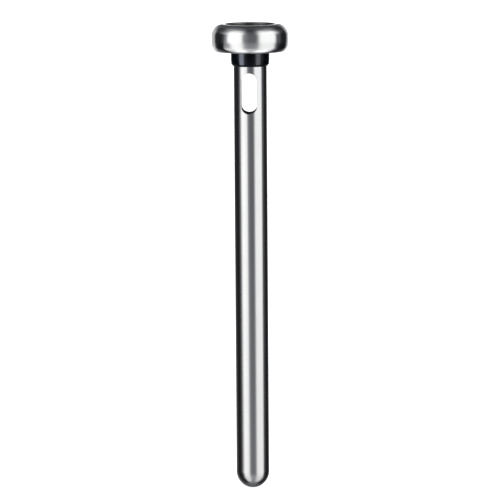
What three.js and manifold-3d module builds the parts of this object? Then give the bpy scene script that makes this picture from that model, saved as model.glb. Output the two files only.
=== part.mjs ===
// Bottle chilling rod with a pour-through head.
//
// A slim stainless tube, closed by a hemispherical tip and filled with freezing
// gel, hangs inside a wine bottle. A silicone collar at its top plugs the neck.
// Wine enters the tube through two opposite slots just under the neck, rises
// through a threaded spigot and leaves through the cup of a ring-shaped head.
// The head screws onto the rod with a right-hand thread so the inside can be
// washed.
//
// Millimetres, +Z up. Origin: on the rod's axis, in the plane of the head's
// flat underside, which rests on the bottle's lip. The slots face -Y and +Y.

import * as THREE from 'three';
import { mergeVertices } from 'three/addons/utils/BufferGeometryUtils.js';
import Module from 'manifold-3d';

// ---------------------------------------------------------------- dimensions

const GAP = 0.3;                 // clearance kept between neighbouring pieces

// rod tube
const ROD_R = 8.6;               // outside radius (17.2 mm stainless tube)
const ROD_WALL = 0.8;
const ROD_BORE_R = ROD_R - ROD_WALL;
const ROD_TOP_Z = 0.6;           // upper end, just inside the head
const TIP_CENTRE_Z = -220.9;     // centre of the hemispherical tip

// inlet slots
const SLOT_W = 8.1;
const SLOT_TOP_Z = -11.1;
const SLOT_BOTTOM_Z = -32.4;
const SLOT_X = -0.6;             // both slots are milled a little to one side of the axis

// stopper collar
const COLLAR_R = 10.0;
const COLLAR_TOP_Z = -0.3;
const COLLAR_BOTTOM_Z = -7.7;
const COLLAR_CHAMFER = 1.1;

// bulkhead plug, its sealing ring, and the gel below them
const PLUG_TOP_Z = -34.4;
const PLUG_BOTTOM_Z = -42.4;
const PLUG_RING_Z = -38.6;
const PLUG_RING_SECTION = 0.55;
const GEL_TOP_Z = -49.0;         // leaves room for the gel to grow as it freezes

// screw joint between the rod and the head
const PITCH = 2.0;               // one turn of the head lifts it by this much
const SPIGOT_BORE_R = 4.8;
const SPIGOT_ROOT_R = 5.9;
const SPIGOT_CREST_R = 6.6;
const SPIGOT_BOTTOM_Z = -8.6;
const RIDGE_Z = [-7.5, -2.5];    // centre line of the spigot's thread ridge
const BUSH_MINOR_R = 6.25;
const BUSH_MAJOR_R = 6.95;
const BUSH_BOTTOM_Z = -9.4;
const BUSH_RELIEF_Z = -2.3;      // the thread ends here and a plain bore begins
const BUSH_FLANGE_Z = [0.9, 1.7];
const BUSH_FLANGE_R = 8.5;

// neck gasket
const GASKET_Z = [2.0, 3.2];
const GASKET_R = [7.0, 8.5];

// head
const HEAD_R = 20.0;
const HEAD_H = 14.2;
const HEAD_TOP_CORNER = 6.3;
const HEAD_BOTTOM_CORNER = 3.2;
const HEAD_WALL = 0.8;
const MOUTH_R = 12.2;            // the opening at the rim
const CUP_WALL = 0.7;
const CUP_FLOOR_Z = 5.6;         // underside of the cup's floor
const BASE_R = [9.1, 16.3];      // flat ring that rests on the bottle's lip
const BASE_T = 1.0;
const BASE_RECESS_R = 10.8;      // shallow recess over the collar's upper end
const BASE_RECESS_H = 0.3;
const SPIGOT_FLANGE_Z = [3.5, 5.3];
const SPIGOT_FLANGE_R = 11.5;

const SEG = 48;                  // facets round the larger pieces
const SEG_IN = 32;               // facets round the inner pieces

// ------------------------------------------------------------------- helpers

// Points of an arc in the (radius, height) plane, both ends included.
const arc = (r, z, radius, fromDeg, toDeg, steps) =>
  Array.from({ length: steps + 1 }, (_, i) => {
    const a = THREE.MathUtils.degToRad(fromDeg + ((toDeg - fromDeg) * i) / steps);
    return [r + radius * Math.cos(a), z + radius * Math.sin(a)];
  });

// A turned shape about Z. A profile runs anticlockwise in the (radius, height)
// plane; closed profiles return to their first point.
const turned = (profile, segments = SEG, closed = true) => {
  const points = profile.map(([r, z]) => new THREE.Vector2(r, z));
  if (closed) points.push(points[0].clone());
  const geometry = new THREE.LatheGeometry(points, segments);
  geometry.rotateX(Math.PI / 2);
  return geometry;
};

// A helix whose frame keeps X radial and Y axial along the whole path, so that
// an extruded section doesn't roll.
class ThreadPath extends THREE.Curve {
  constructor(radius, zFrom, zTo) {
    super();
    Object.assign(this, { radius, zFrom, zTo });
  }
  angle(t) {
    return ((this.zFrom + (this.zTo - this.zFrom) * t) / PITCH) * Math.PI * 2;
  }
  getPoint(t, target = new THREE.Vector3()) {
    const a = this.angle(t);
    const z = this.zFrom + (this.zTo - this.zFrom) * t;
    return target.set(this.radius * Math.cos(a), this.radius * Math.sin(a), z);
  }
  computeFrenetFrames(steps) {
    const frames = { tangents: [], normals: [], binormals: [] };
    for (let i = 0; i <= steps; i += 1) {
      const a = this.angle(i / steps);
      frames.tangents.push(new THREE.Vector3(-Math.sin(a), Math.cos(a), PITCH / (2 * Math.PI * this.radius)).normalize());
      frames.normals.push(new THREE.Vector3(Math.cos(a), Math.sin(a), 0));
      frames.binormals.push(new THREE.Vector3(0, 0, -1));
    }
    return frames;
  }
}

// A trapezoidal thread: wide half-width at rIn, narrow half-width at rOut.
const thread = (rIn, rOut, wide, narrow, zFrom, zTo) => {
  const section = new THREE.Shape([
    new THREE.Vector2(0, -wide),
    new THREE.Vector2(rOut - rIn, -narrow),
    new THREE.Vector2(rOut - rIn, narrow),
    new THREE.Vector2(0, wide),
  ]);
  const turns = (zTo - zFrom) / PITCH;
  return new THREE.ExtrudeGeometry(section, {
    steps: Math.round(turns * 24),
    extrudePath: new ThreadPath(rIn, zFrom, zTo),
    bevelEnabled: false,
  });
};

const wasm = await Module();
wasm.setup();

const toSolid = (geometry) => {
  const bare = geometry.clone();
  bare.deleteAttribute('normal');
  bare.deleteAttribute('uv');
  const merged = mergeVertices(bare, 1e-5);
  const index = merged.index.array;
  const triangles = [];
  for (let i = 0; i < index.length; i += 3) {
    const [a, b, c] = [index[i], index[i + 1], index[i + 2]];
    if (a !== b && b !== c && c !== a) triangles.push(a, b, c);
  }
  return new wasm.Manifold(new wasm.Mesh({
    numProp: 3,
    vertProperties: new Float32Array(merged.attributes.position.array),
    triVerts: new Uint32Array(triangles),
  }));
};

const toGeometry = (solid) => {
  const mesh = solid.getMesh();
  const geometry = new THREE.BufferGeometry();
  geometry.setAttribute('position', new THREE.BufferAttribute(new Float32Array(mesh.vertProperties), 3));
  geometry.setIndex(new THREE.BufferAttribute(new Uint32Array(mesh.triVerts), 1));
  geometry.computeVertexNormals();
  return geometry;
};

const steel = () => new THREE.MeshStandardMaterial({ color: 0xb9bcc0, roughness: 0.3, metalness: 1 });
const turnedSteel = () => new THREE.MeshStandardMaterial({ color: 0xa9adb2, roughness: 0.24, metalness: 1 });
const silicone = () => new THREE.MeshStandardMaterial({ color: 0x15171a, roughness: 0.5, metalness: 0 });
const moulded = () => new THREE.MeshStandardMaterial({ color: 0x1b1c1e, roughness: 0.6, metalness: 0 });
const gel = () => new THREE.MeshStandardMaterial({ color: 0x3f78b4, roughness: 0.35, metalness: 0 });

const piece = (name, geometry, material) => {
  const mesh = new THREE.Mesh(geometry, material);
  mesh.name = name;
  return mesh;
};

// ----------------------------------------------------------------- rod group

// Tube with a spun, closed tip; open at the top.
const tubeBody = toSolid(turned([
  [0, TIP_CENTRE_Z - ROD_R],
  ...arc(0, TIP_CENTRE_Z, ROD_R, -90, 0, 8).slice(1),
  [ROD_R, ROD_TOP_Z - 0.15],
  [ROD_R - 0.15, ROD_TOP_Z],
  [ROD_BORE_R, ROD_TOP_Z],
  ...arc(0, TIP_CENTRE_Z, ROD_BORE_R, 0, -90, 6).slice(0, -1),
  [0, TIP_CENTRE_Z - ROD_BORE_R],
], SEG, false));

// One full-round slot cut straight through both walls along Y.
const slotShape = new THREE.Shape();
slotShape.absarc(SLOT_X, SLOT_TOP_Z - SLOT_W / 2, SLOT_W / 2, 0, Math.PI, false);
slotShape.absarc(SLOT_X, SLOT_BOTTOM_Z + SLOT_W / 2, SLOT_W / 2, Math.PI, Math.PI * 2, false);
const slotTool = new THREE.ExtrudeGeometry(slotShape, {
  depth: ROD_R * 2 + 6, steps: 1, curveSegments: 10, bevelEnabled: false,
});
slotTool.rotateX(Math.PI / 2);
slotTool.translate(0, ROD_R + 3, 0);
const rodTube = piece('rod_tube', toGeometry(tubeBody.subtract(toSolid(slotTool))), steel());

const stopperCollar = piece('stopper_collar', turned([
  [ROD_R + GAP, COLLAR_BOTTOM_Z],
  [COLLAR_R - COLLAR_CHAMFER, COLLAR_BOTTOM_Z],
  [COLLAR_R - 0.12, COLLAR_BOTTOM_Z + COLLAR_CHAMFER],
  [COLLAR_R, COLLAR_BOTTOM_Z + COLLAR_CHAMFER + 0.6],
  [COLLAR_R, COLLAR_TOP_Z - 0.3],
  [COLLAR_R - 0.3, COLLAR_TOP_Z],
  [ROD_R + GAP, COLLAR_TOP_Z],
]), silicone());

const plugR = ROD_BORE_R - GAP;
const grooveR = plugR - PLUG_RING_SECTION * 2 - GAP;
const grooveHalf = PLUG_RING_SECTION + GAP;
const chamberPlug = piece('chamber_plug', turned([
  [0, PLUG_BOTTOM_Z],
  [plugR - 0.8, PLUG_BOTTOM_Z],
  [plugR, PLUG_BOTTOM_Z + 0.8],
  [plugR, PLUG_RING_Z - grooveHalf],
  [grooveR, PLUG_RING_Z - grooveHalf],
  [grooveR, PLUG_RING_Z + grooveHalf],
  [plugR, PLUG_RING_Z + grooveHalf],
  [plugR, PLUG_TOP_Z - 0.5],
  [plugR - 0.5, PLUG_TOP_Z],
  [0, PLUG_TOP_Z],
], SEG_IN, false), moulded());

const plugSealRing = piece('plug_seal_ring', turned(
  arc(plugR - PLUG_RING_SECTION, PLUG_RING_Z, PLUG_RING_SECTION, 0, 360, 8).slice(0, -1), SEG_IN,
), silicone());

const gelR = ROD_BORE_R - GAP;
const gelCore = piece('cooling_gel_core', turned([
  [0, TIP_CENTRE_Z - gelR],
  ...arc(0, TIP_CENTRE_Z, gelR, -90, 0, 5).slice(1),
  [gelR, GEL_TOP_Z - 0.6],
  [gelR - 0.6, GEL_TOP_Z],
  [0, GEL_TOP_Z],
], SEG_IN, false), gel());

// Threaded bush pressed into the tube's upper end; its flange sits on the rim.
const bushR = ROD_BORE_R - GAP;
const bushBlank = toSolid(turned([
  [BUSH_MINOR_R + 0.5, BUSH_BOTTOM_Z],
  [bushR - 0.4, BUSH_BOTTOM_Z],
  [bushR, BUSH_BOTTOM_Z + 0.4],
  [bushR, BUSH_FLANGE_Z[0]],
  [BUSH_FLANGE_R, BUSH_FLANGE_Z[0]],
  [BUSH_FLANGE_R, BUSH_FLANGE_Z[1]],
  [BUSH_MAJOR_R + 0.1, BUSH_FLANGE_Z[1]],
  [BUSH_MAJOR_R + 0.1, BUSH_RELIEF_Z],
  [BUSH_MINOR_R, BUSH_RELIEF_Z],
  [BUSH_MINOR_R, BUSH_BOTTOM_Z + 0.5],
], SEG_IN));
const bushThread = toSolid(thread(BUSH_MINOR_R - 0.35, BUSH_MAJOR_R, 0.8, 0.6, -8.4, -1.7));
const neckBush = piece('neck_bush', toGeometry(bushBlank.subtract(bushThread)), turnedSteel());

// -------------------------------------------------------------- gasket group

const neckGasket = piece('neck_gasket', turned([
  [GASKET_R[0], GASKET_Z[0]],
  [GASKET_R[1], GASKET_Z[0]],
  [GASKET_R[1], GASKET_Z[1]],
  [GASKET_R[0], GASKET_Z[1]],
], SEG_IN), silicone());

// ---------------------------------------------------------------- head group

// Outline of the ring-shaped head, offset inwards by d.
const headOutline = (d, bottomR, topR, cornerSteps) => {
  const top = HEAD_TOP_CORNER;
  const bottom = HEAD_BOTTOM_CORNER;
  return [
    [bottomR, d],
    ...arc(HEAD_R - bottom, bottom, bottom - d, -90, 0, cornerSteps - 2),
    ...arc(HEAD_R - top, HEAD_H - top, top - d, 0, 90, cornerSteps),
    [topR, HEAD_H - d],
  ];
};

const shellTopR = MOUTH_R + CUP_WALL + GAP;
const shellBottomR = BASE_R[1] + GAP;
const headShell = piece('head_shell', turned([
  ...headOutline(0, shellBottomR, shellTopR, 7),
  ...headOutline(HEAD_WALL, shellBottomR, shellTopR, 4).reverse(),
]), steel());

const headBase = piece('head_base_ring', turned([
  [BASE_R[0], BASE_RECESS_H],
  [BASE_RECESS_R, BASE_RECESS_H],
  [BASE_RECESS_R, 0],
  [BASE_R[1], 0],
  [BASE_R[1], BASE_T],
  [BASE_R[0], BASE_T],
]), steel());

// Moulded core that centres the shell, the cup and the spigot on each other.
const coreD = HEAD_WALL + GAP;
const headCore = piece('head_core', turned([
  [BASE_R[0], BASE_T + GAP],
  [16.4, BASE_T + GAP],
  [HEAD_R - coreD - 0.55, 2.3],
  ...arc(HEAD_R - HEAD_TOP_CORNER, HEAD_H - HEAD_TOP_CORNER, HEAD_TOP_CORNER - coreD, 0, 90, 4),
  [MOUTH_R + CUP_WALL + GAP, HEAD_H - coreD],
  [MOUTH_R + CUP_WALL + GAP, 9.4],
  [SPIGOT_FLANGE_R + GAP, 6.3],
  [SPIGOT_FLANGE_R + GAP, SPIGOT_FLANGE_Z[0] - GAP],
  [BASE_R[0], SPIGOT_FLANGE_Z[0] - GAP],
], SEG_IN), moulded());

// Pouring cup: straight wall, rounded into a shallow funnel.
const pourCup = piece('pour_cup', turned([
  [SPIGOT_BORE_R, CUP_FLOOR_Z],
  [8.4, CUP_FLOOR_Z + 0.25],
  ...arc(8.7, 9.95, 4.2, -82, 0, 4),
  [MOUTH_R + CUP_WALL, HEAD_H - 0.2],
  [MOUTH_R + CUP_WALL - 0.2, HEAD_H],
  [MOUTH_R + 0.2, HEAD_H],
  [MOUTH_R, HEAD_H - 0.2],
  ...arc(8.7, 9.95, 3.5, 0, -82, 4),
  [8.4, CUP_FLOOR_Z + 0.25 + CUP_WALL],
  [SPIGOT_BORE_R, CUP_FLOOR_Z + CUP_WALL],
]), steel());

// Hollow threaded spigot with the flange that carries the cup.
const spigotBlank = toSolid(turned([
  [SPIGOT_BORE_R, SPIGOT_BOTTOM_Z],
  [SPIGOT_ROOT_R - 0.4, SPIGOT_BOTTOM_Z],
  [SPIGOT_ROOT_R, SPIGOT_BOTTOM_Z + 0.4],
  [SPIGOT_ROOT_R, SPIGOT_FLANGE_Z[0]],
  [SPIGOT_FLANGE_R, SPIGOT_FLANGE_Z[0]],
  [SPIGOT_FLANGE_R, SPIGOT_FLANGE_Z[1]],
  [SPIGOT_BORE_R, SPIGOT_FLANGE_Z[1]],
], SEG_IN));
const spigotThread = toSolid(thread(SPIGOT_ROOT_R - 0.3, SPIGOT_CREST_R, 0.5, 0.25, ...RIDGE_Z));
const spigot = piece('threaded_spigot', toGeometry(spigotBlank.add(spigotThread)), turnedSteel());

// ------------------------------------------------------------------ assembly

const rod = new THREE.Group();
rod.add(rodTube, stopperCollar, chamberPlug, plugSealRing, gelCore, neckBush);

const head = new THREE.Group();
head.add(headShell, headBase, headCore, pourCup, spigot);

const group = new THREE.Group();
group.add(rod, neckGasket, head);

export default group;
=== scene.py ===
# The looks of a bottle chilling rod with a screw-on pouring head, built round
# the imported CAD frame. Lengths in the builders below are millimetres; every
# mesh is written in metres, in the frame's own coordinates (+Z up, origin on
# the rod's axis in the plane of the head's flat underside).

import math

import bpy
import numpy as np
from mathutils import Matrix, Vector


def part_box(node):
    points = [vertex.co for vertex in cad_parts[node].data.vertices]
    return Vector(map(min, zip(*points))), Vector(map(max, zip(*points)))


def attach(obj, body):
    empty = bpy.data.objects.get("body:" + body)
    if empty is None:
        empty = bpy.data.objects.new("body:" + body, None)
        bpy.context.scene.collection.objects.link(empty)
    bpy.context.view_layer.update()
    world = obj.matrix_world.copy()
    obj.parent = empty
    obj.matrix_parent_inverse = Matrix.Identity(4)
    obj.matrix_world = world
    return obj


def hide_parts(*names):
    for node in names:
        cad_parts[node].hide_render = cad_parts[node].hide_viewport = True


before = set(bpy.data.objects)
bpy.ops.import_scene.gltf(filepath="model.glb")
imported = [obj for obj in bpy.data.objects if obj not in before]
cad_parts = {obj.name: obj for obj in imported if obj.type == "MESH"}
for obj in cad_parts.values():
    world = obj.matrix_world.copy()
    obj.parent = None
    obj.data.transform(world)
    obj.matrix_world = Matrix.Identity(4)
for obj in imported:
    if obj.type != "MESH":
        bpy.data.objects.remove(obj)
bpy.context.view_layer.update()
MM = 0.001


def mm_box(node):
    """A node's lowest and highest corners in millimetres."""
    lo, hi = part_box(node)
    return np.array(lo) * 1000.0, np.array(hi) * 1000.0


# ------------------------------------------------------------ sizes from CAD

tube_lo, tube_hi = mm_box("rod_tube")
collar_lo, collar_hi = mm_box("stopper_collar")
plug_lo, plug_hi = mm_box("chamber_plug")
oring_lo, oring_hi = mm_box("plug_seal_ring")
gel_lo, gel_hi = mm_box("cooling_gel_core")
bush_lo, bush_hi = mm_box("neck_bush")
gasket_lo, gasket_hi = mm_box("neck_gasket")
shell_lo, shell_hi = mm_box("head_shell")
base_lo, base_hi = mm_box("head_base_ring")
core_lo, core_hi = mm_box("head_core")
cup_lo, cup_hi = mm_box("pour_cup")
spigot_lo, spigot_hi = mm_box("threaded_spigot")

ROD_R = float(tube_hi[0])
WALL = 0.8
BORE_R = ROD_R - WALL
TIP_Z = float(tube_lo[2])
TIP_CENTRE = TIP_Z + ROD_R
TUBE_TOP = float(tube_hi[2])
SLOT_HALF = 4.05
SLOT_TOP, SLOT_BOTTOM = -11.1, -32.4
SLOT_X = -0.6
HEAD_R = float(shell_hi[0])
HEAD_H = float(shell_hi[2])
MOUTH_R = 12.2
PITCH = 2.0

# ----------------------------------------------------------------- mesh code


def add_mesh(name, verts, faces, normals=None, smooth=True):
    """A mesh object in metres from vertices in millimetres, with exact vertex normals where they are given."""
    mesh = bpy.data.meshes.new(name)
    mesh.from_pydata((np.asarray(verts) * MM).tolist(), [], [list(map(int, f)) for f in faces])
    mesh.validate(clean_customdata=False)
    mesh.update()
    mesh.polygons.foreach_set("use_smooth", [smooth] * len(mesh.polygons))
    if normals is not None:
        n = np.asarray(normals, float)
        n /= np.maximum(np.linalg.norm(n, axis=1, keepdims=True), 1e-12)
        mesh.normals_split_custom_set_from_vertices(n.tolist())
    mesh.update()
    obj = bpy.data.objects.new(name, mesh)
    bpy.context.scene.collection.objects.link(obj)
    return obj


def fillet_outline(points, closed=True, step_deg=9.0):
    """Points (r, z, fillet radius) of an outline that runs anticlockwise in the (r, z) plane.
    Returns [(r, z, nr, nz)]: each corner becomes a tangent arc, or two points with their own normals where its radius is 0."""
    out = []
    n = len(points)
    for i, (r, z, rad) in enumerate(points):
        p = np.array([r, z], float)
        has_prev, has_next = closed or i > 0, closed or i < n - 1
        prev = np.array(points[i - 1][:2], float) if has_prev else None
        nxt = np.array(points[(i + 1) % n][:2], float) if has_next else None
        din = (p - prev) / np.linalg.norm(p - prev) if has_prev else None
        dout = (nxt - p) / np.linalg.norm(nxt - p) if has_next else None
        if din is None or dout is None:
            d = dout if din is None else din
            out.append((r, z, 0.0 if r == 0 else d[1], math.copysign(1.0, -d[0]) if r == 0 else -d[0]))
            continue
        n0, n1 = np.array([din[1], -din[0]]), np.array([dout[1], -dout[0]])
        turn = math.atan2(din[0] * dout[1] - din[1] * dout[0], float(din.dot(dout)))
        if rad <= 0 or abs(turn) < 1e-4:
            if abs(turn) < math.radians(20):
                m = n0 + n1
                m /= np.linalg.norm(m)
                out.append((r, z, m[0], m[1]))
            else:
                out.append((r, z, n0[0], n0[1]))
                out.append((r, z, n1[0], n1[1]))
            continue
        back = rad * math.tan(abs(turn) / 2)
        start = p - din * back
        side = 1.0 if turn > 0 else -1.0
        centre = start - n0 * rad * side
        steps = max(2, int(math.ceil(abs(math.degrees(turn)) / step_deg)))
        a0 = math.atan2(n0[1], n0[0])
        for k in range(steps + 1):
            a = a0 + turn * k / steps
            nn = np.array([math.cos(a), math.sin(a)])
            q = centre + nn * rad * side
            out.append((q[0], q[1], nn[0], nn[1]))
    return out


def split_long(outline, closed=True, longest=4.0):
    """Adds points along straight stretches so that no face is very long."""
    out = []
    n = len(outline)
    for i, a in enumerate(outline):
        out.append(a)
        if not closed and i == n - 1:
            break
        b = outline[(i + 1) % n]
        gap = math.hypot(b[0] - a[0], b[1] - a[1])
        parts = int(gap // longest)
        same = a[2] * b[2] + a[3] * b[3] > 0.9999
        if parts >= 1 and same:
            for k in range(1, parts + 1):
                t = k / (parts + 1)
                out.append(tuple(a[j] + (b[j] - a[j]) * t for j in range(4)))
    return out


def revolve(name, outline, closed=True, segments=160, radius_at=None):
    """A solid of revolution about Z from [(r, z, nr, nz)]. Points at one place with two normals share one ring of
    vertices, whose normal is the average of the two.
    """
    rings, points = [], []
    for p in outline:
        if points and math.hypot(p[0] - points[-1][0], p[1] - points[-1][1]) < 1e-6:
            m = np.array([points[-1][2] + p[2], points[-1][3] + p[3]])
            m /= max(np.linalg.norm(m), 1e-9)
            points[-1] = (points[-1][0], points[-1][1], m[0], m[1])
            continue
        points.append(tuple(p))
    if closed and math.hypot(points[0][0] - points[-1][0], points[0][1] - points[-1][1]) < 1e-6:
        points.pop()
    verts, normals = [], []
    for r, z, nr, nz in points:
        if r <= 1e-6:
            rings.append([len(verts)])
            verts.append((0.0, 0.0, z))
            normals.append((0.0, 0.0, 1.0 if nz >= 0 else -1.0))
            continue
        ring = []
        for i in range(segments):
            a = 2 * math.pi * i / segments
            s, c = math.sin(a), -math.cos(a)
            ring.append(len(verts))
            verts.append((r * s, r * c, z))
            normals.append((nr * s, nr * c, nz))
        rings.append(ring)
    faces = []
    pairs = list(zip(rings, rings[1:])) + ([(rings[-1], rings[0])] if closed else [])
    for a, b in pairs:
        for i in range(segments):
            j = (i + 1) % segments
            if len(a) == 1 and len(b) == 1:
                break
            if len(a) == 1:
                faces.append((a[0], b[j], b[i]))
            elif len(b) == 1:
                faces.append((a[i], a[j], b[0]))
            else:
                faces.append((a[i], a[j], b[j], b[i]))
    return add_mesh(name, verts, faces, normals)


# -------------------------------------------------------------- the rod tube


def rod_tube_mesh():
    """Tube with a hemispherical closed tip and two full-round slots whose cut edges are rounded.
    Each slot sits in a rectangular patch of its own whose rings run from the slot's edge to the patch's border, so the wall stays an exact cylinder."""
    cols = 128
    per = cols // 4                       # columns across one patch, 90 degrees
    arc_n, side_n = per // 2, 22          # slot points on an eighth of the ends, and down a side
    zc_top, zc_bot = SLOT_TOP - SLOT_HALF, SLOT_BOTTOM + SLOT_HALF
    patch_top, patch_bot = SLOT_TOP + 2.6, SLOT_BOTTOM - 4.0
    half = math.pi / 4

    # Slot outline, anticlockwise seen from outside, starting at the lower right end of the straight side.
    outline = []                          # (x, z, nx, nz) with the normal pointing away from the slot's middle
    for k in range(side_n):
        t = k / side_n
        outline.append((1.0, zc_bot + (zc_top - zc_bot) * t, 1.0, 0.0, "side"))
    for k in range(4 * arc_n):
        a = math.pi * k / (4 * arc_n)
        outline.append((math.cos(a), zc_top, math.cos(a), math.sin(a), "top"))
    for k in range(side_n):
        t = k / side_n
        outline.append((-1.0, zc_top + (zc_bot - zc_top) * t, -1.0, 0.0, "side"))
    for k in range(4 * arc_n):
        a = math.pi + math.pi * k / (4 * arc_n)
        outline.append((math.cos(a), zc_bot, math.cos(a), math.sin(a), "bottom"))
    m = len(outline)

    def edge(i, grow, which):
        x, z, nx, nz, kind = outline[i]
        h = SLOT_HALF + grow
        off = SLOT_X if which == "front" else -SLOT_X
        if kind == "side":
            return x * h + off, z
        return nx * h + off, z + nz * h

    # The patch's border points, one for each slot point.
    z_side = []
    for k in range(arc_n + side_n + arc_n + 1):
        z_side.append(None)
    total = arc_n + side_n + arc_n
    lower = [patch_bot + (zc_bot - patch_bot) * k / arc_n for k in range(arc_n)]
    middle = [zc_bot + (zc_top - zc_bot) * k / side_n for k in range(side_n)]
    upper = [zc_top + (patch_top - zc_top) * k / arc_n for k in range(arc_n + 1)]
    z_rows = lower + middle + upper       # total + 1 heights up the patch's sides
    border = []
    for i in range(m):
        if i < side_n:
            border.append((half, z_rows[arc_n + i]))
        elif i < side_n + arc_n:
            border.append((half, z_rows[arc_n + side_n + (i - side_n)]))
        elif i < side_n + arc_n + per:
            k = i - side_n - arc_n
            border.append((half - 2 * half * k / per, patch_top))
        elif i < side_n + 4 * arc_n:
            k = i - side_n - arc_n - per
            border.append((-half, z_rows[total - k]))
        elif i < 2 * side_n + 4 * arc_n:
            k = i - side_n - 4 * arc_n
            border.append((-half, z_rows[arc_n + side_n - k]))
        elif i < 2 * side_n + 5 * arc_n:
            k = i - 2 * side_n - 4 * arc_n
            border.append((-half, z_rows[arc_n - k]))
        elif i < 2 * side_n + 5 * arc_n + per:
            k = i - 2 * side_n - 5 * arc_n
            border.append((-half + 2 * half * k / per, patch_bot))
        else:
            k = i - 2 * side_n - 5 * arc_n - per
            border.append((half, z_rows[k]))

    verts, normals, faces = [], [], []

    def put(p, n):
        verts.append(p)
        normals.append(n)
        return len(verts) - 1

    def on_cylinder(theta, z, radius, sign):
        s, c = math.sin(theta), -math.cos(theta)
        return put((radius * s, radius * c, z), (sign * s, sign * c, 0.0))

    rings_k = 9
    grids = {}
    for skin, radius, sign in (("out", ROD_R, 1.0), ("in", BORE_R, -1.0)):
        for which, centre in (("front", 0.0), ("back", math.pi)):
            rings = []
            f = 0.16
            start = [edge(i, f, which) for i in range(m)]
            theta_z = [(math.asin(x / radius), z) for x, z in start]
            for r in range(rings_k + 1):
                t = (r / rings_k) ** 1.35
                ring = []
                for i in range(m):
                    th = theta_z[i][0] * (1 - t) + border[i][0] * t
                    z = theta_z[i][1] * (1 - t) + border[i][1] * t
                    ring.append((th, z))
                rings.append(ring)
            ids = []
            for r, ring in enumerate(rings):
                ids.append([on_cylinder(centre + th, z, radius, sign) for th, z in ring])
            grids[skin, which] = ids
            for a, b in zip(ids, ids[1:]):
                for i in range(m):
                    j = (i + 1) % m
                    q = (a[i], b[i], b[j], a[j])
                    faces.append(q if sign > 0 else q[::-1])

    # The cut wall between the outer and inner skins, with a rounded edge on each.
    f = 0.16
    for which, centre in (("front", 0.0), ("back", math.pi)):
        flip = -1.0 if which == "front" else 1.0
        layers = [grids["out", which][0]]

        def layer(grow, radius, blend_out, blend_in):
            row = []
            for i in range(m):
                x, z = edge(i, grow, which)
                nx, nz = outline[i][2], outline[i][3]
                xw = x if which == "front" else -x
                nxw = nx if which == "front" else -nx
                y = flip * math.sqrt(max(radius * radius - x * x, 0.0))
                radial = np.array([xw, y, 0.0]) / max(math.hypot(x, y), 1e-9)
                wall = np.array([-nxw, 0.0, -nz])
                n = wall * (1 - blend_out - blend_in) + radial * blend_out - radial * blend_in
                row.append(put((xw, y, z), tuple(n)))
            return row

        for a in (22.5, 45.0, 67.5, 90.0):
            s, c = math.sin(math.radians(a)), math.cos(math.radians(a))
            layers.append(layer(f * (1 - s), ROD_R - f * (1 - c), c / (s + c), 0.0))
        for a in (90.0, 67.5, 45.0, 22.5):
            s, c = math.sin(math.radians(a)), math.cos(math.radians(a))
            layers.append(layer(f * (1 - s), BORE_R + f * (1 - c), 0.0, c / (s + c)))
        layers.append(grids["in", which][0])
        for a, b in zip(layers, layers[1:]):
            for i in range(m):
                j = (i + 1) % m
                faces.append((a[j], b[j], b[i], a[i]))

    # The rest of the wall: rows above, beside and below the patches, then the tip.
    def band_row(z, radius, sign):
        return [on_cylinder(-half + 2 * math.pi * k / cols, z, radius, sign) for k in range(cols)]

    def stitch(a, b, up, closed=True):
        n = len(a)
        for i in range(n if closed else n - 1):
            j = (i + 1) % n
            q = (a[i], a[j], b[j], b[i])
            faces.append(q if up else q[::-1])

    rows = {}
    for skin, radius, sign in (("out", ROD_R, 1.0), ("in", BORE_R, -1.0)):
        front, back = grids[skin, "front"][-1], grids[skin, "back"][-1]

        def border_line(ids, where):
            if where == "top":
                i0 = side_n + arc_n
                return [ids[(i0 + k) % m] for k in range(per + 1)][::-1]
            if where == "bottom":
                i0 = 2 * side_n + 5 * arc_n
                return [ids[(i0 + k) % m] for k in range(per + 1)]
            if where == "right":
                i0 = 2 * side_n + 5 * arc_n + per
                return [ids[(i0 + k) % m] for k in range(total + 1)]
            i0 = side_n + arc_n + per
            return [ids[(i0 + k) % m] for k in range(total + 1)][::-1]

        # strips between the patches
        side_cols = {}
        for name, left_line, right_line, start in (
            ("right", border_line(front, "right"), border_line(back, "left"), half),
            ("left", border_line(back, "right"), border_line(front, "left"), math.pi + half),
        ):
            columns = [left_line]
            for k in range(1, per):
                th = start + (math.pi / 2) * k / per
                columns.append([on_cylinder(th, z, radius, sign) for z in z_rows])
            columns.append(right_line)
            side_cols[name] = columns
            for a, b in zip(columns, columns[1:]):
                for i in range(total):
                    q = (a[i], b[i], b[i + 1], a[i + 1])
                    faces.append(q if sign > 0 else q[::-1])

        def full_row(where):
            f_line, b_line = border_line(front, where), border_line(back, where)
            pick = -1 if where == "top" else 0
            row = f_line[:-1]
            row += [c[pick] for c in side_cols["right"][:-1]]
            row += b_line[:-1]
            row += [c[pick] for c in side_cols["left"][:-1]]
            return row

        top_row, bottom_row = full_row("top"), full_row("bottom")
        # upward to the rim
        rim = 0.14 if sign > 0 else 0.12
        z_top = TUBE_TOP - rim
        ups = [patch_top + (z_top - patch_top) * k / 3 for k in (1, 2, 3)]
        previous = top_row
        for z in ups:
            row = band_row(z, radius, sign)
            stitch(previous, row, sign > 0)
            previous = row
        rows[skin, "rim"] = (previous, rim)
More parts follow.
